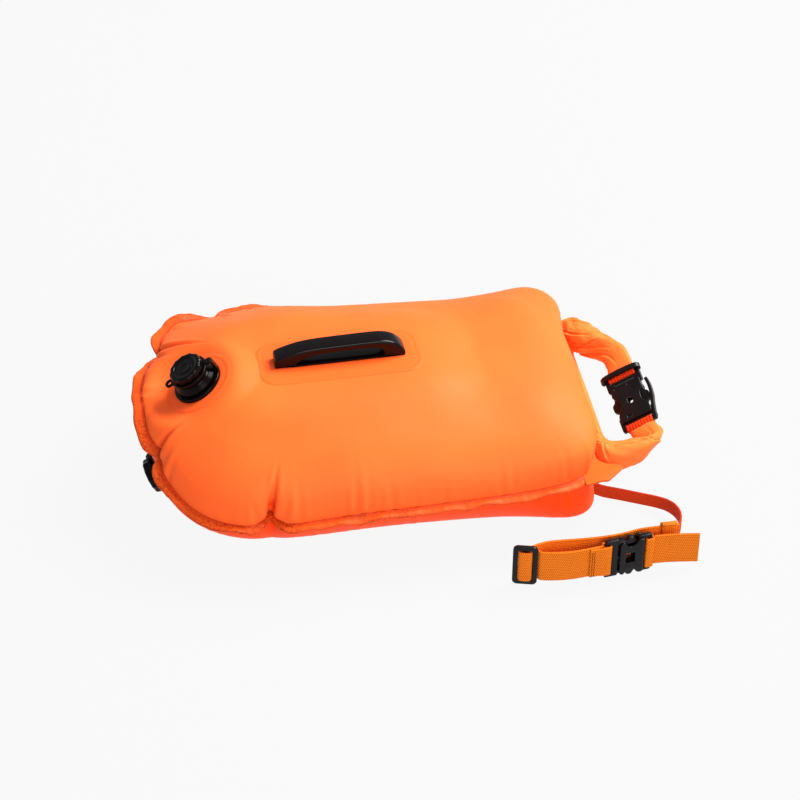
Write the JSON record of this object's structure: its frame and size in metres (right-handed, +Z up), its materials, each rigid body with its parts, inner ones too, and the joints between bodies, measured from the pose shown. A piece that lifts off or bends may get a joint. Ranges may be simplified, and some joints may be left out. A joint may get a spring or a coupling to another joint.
{
  "type": "open water swim buoy",
  "caption": "Inflated open water swim buoy and dry bag with welded air chambers, screw valves, a carrying handle, a buckled roll top and a waist belt on a short leash.",
  "frame": {"origin": "on the flat underside of the lower chamber, where the bag rests on the floor", "axes": "+X along the bag from the closed end to the roll top, +Z up, +Y away from the side where the belt lies"},
  "size_m": [0.4559, 0.3057, 0.1507],
  "materials": {
    "shell": "coated nylon, satin, bright orange",
    "shell_lower": "coated nylon, satin, deeper orange",
    "liner": "coated nylon sheet, satin",
    "flange": "welded coated nylon with a pressed speckle",
    "patch": "coated nylon patch, satin",
    "webbing": "ribbed woven webbing, orange",
    "webbing_red": "ribbed woven webbing, red orange",
    "plastic": "moulded plastic, black, satin",
    "rubber": "moulded rubber, matte black",
    "stiffener": "flat plastic strip, dark"
  },
  "bodies": {
    "bag": {"belt_back_strap": "webbing", "belt_buckle_male": "plastic", "belt_front_bar_loop": "webbing", "belt_front_strap": "webbing", "compartment_lower_liner": "liner", "compartment_upper_liner": "liner", "handle": "plastic", "handle_patch": "patch", "leash_anchor_loop": "webbing_red", "leash_anchor_patch": "patch", "leash_strap": "webbing_red", "lower_chamber": "shell_lower", "lower_valve_base": "plastic", "lower_valve_body": "plastic", "lower_valve_flap": "rubber", "lower_valve_patch": "patch", "lower_valve_seal": "rubber", "lower_valve_tether": "plastic", "mouth_stiffener": "stiffener", "roll_arm_back": "shell", "roll_arm_front": "shell", "roll_buckle_female": "plastic", "roll_front_bar_loop": "webbing_red", "rolled_neck": "shell", "seam_flange": "flange", "upper_chamber": "shell", "upper_valve_base": "plastic", "upper_valve_body": "plastic", "upper_valve_flap": "rubber", "upper_valve_patch": "patch", "upper_valve_seal": "rubber", "upper_valve_tether": "plastic"},
    "upper_swivel": {"upper_valve_swivel": "plastic"},
    "upper_cap": {"upper_valve_cap": "plastic"},
    "lower_swivel": {"lower_valve_swivel": "plastic"},
    "lower_cap": {"lower_valve_cap": "plastic"},
    "roll_buckle_half": {"roll_buckle_male": "plastic", "roll_back_bar_loop": "webbing_red"},
    "belt_socket": {"belt_buckle_female": "plastic", "belt_tail_bar_loop": "webbing", "belt_tail": "webbing"},
    "belt_adjuster": {"belt_triglide": "plastic", "belt_triglide_turn": "webbing"},
    "belt_keeper_band": {"belt_keeper": "webbing"}
  },
  "joints": [
    {"name": "upper_valve_lift", "type": "slide", "parent": "bag", "child": "upper_swivel", "axis": [-0.515, 0, 0.8572], "range_m": [0, 0.0046], "deforming": ["upper_valve_tether"]},
    {"name": "upper_valve_turn", "type": "hinge", "parent": "upper_swivel", "child": "upper_cap", "pos_m": [-0.1362, 0, 0.1204], "axis": [-0.515, 0, 0.8572], "range_deg": [0, 540]},
    {"name": "lower_valve_lift", "type": "slide", "parent": "bag", "child": "lower_swivel", "axis": [-0.9063, 0, -0.4226], "range_m": [0, 0.0046], "deforming": ["lower_valve_tether"]},
    {"name": "lower_valve_turn", "type": "hinge", "parent": "lower_swivel", "child": "lower_cap", "pos_m": [-0.16083, 0, 0.03184], "axis": [-0.9063, 0, -0.4226], "range_deg": [0, 540]},
    {"name": "roll_buckle_release", "type": "slide", "parent": "bag", "child": "roll_buckle_half", "axis": [-0.1137, 0.9398, 0.3223], "range_m": [0, 0.0265], "deforming": ["roll_arm_back"]},
    {"name": "belt_buckle_release", "type": "slide", "parent": "bag", "child": "belt_socket", "axis": [0.9947, 0.1028, 0], "range_m": [0, 0.018]},
    {"name": "belt_adjuster_slide", "type": "slide", "parent": "bag", "child": "belt_adjuster", "axis": [0.9925, -0.1219, 0], "range_m": [0, 0.02], "deforming": ["belt_front_strap", "belt_back_strap"]},
    {"name": "belt_keeper_slide", "type": "slide", "parent": "bag", "child": "belt_keeper_band", "axis": [1, 0, 0], "range_m": [-0.01, 0], "deforming": ["leash_strap"]}
  ],
  "couplings": [
    {"joint": "upper_valve_lift", "follows": "upper_valve_turn", "m_per_rad": 0.00047746},
    {"joint": "lower_valve_lift", "follows": "lower_valve_turn", "m_per_rad": 0.00047746}
  ]
}
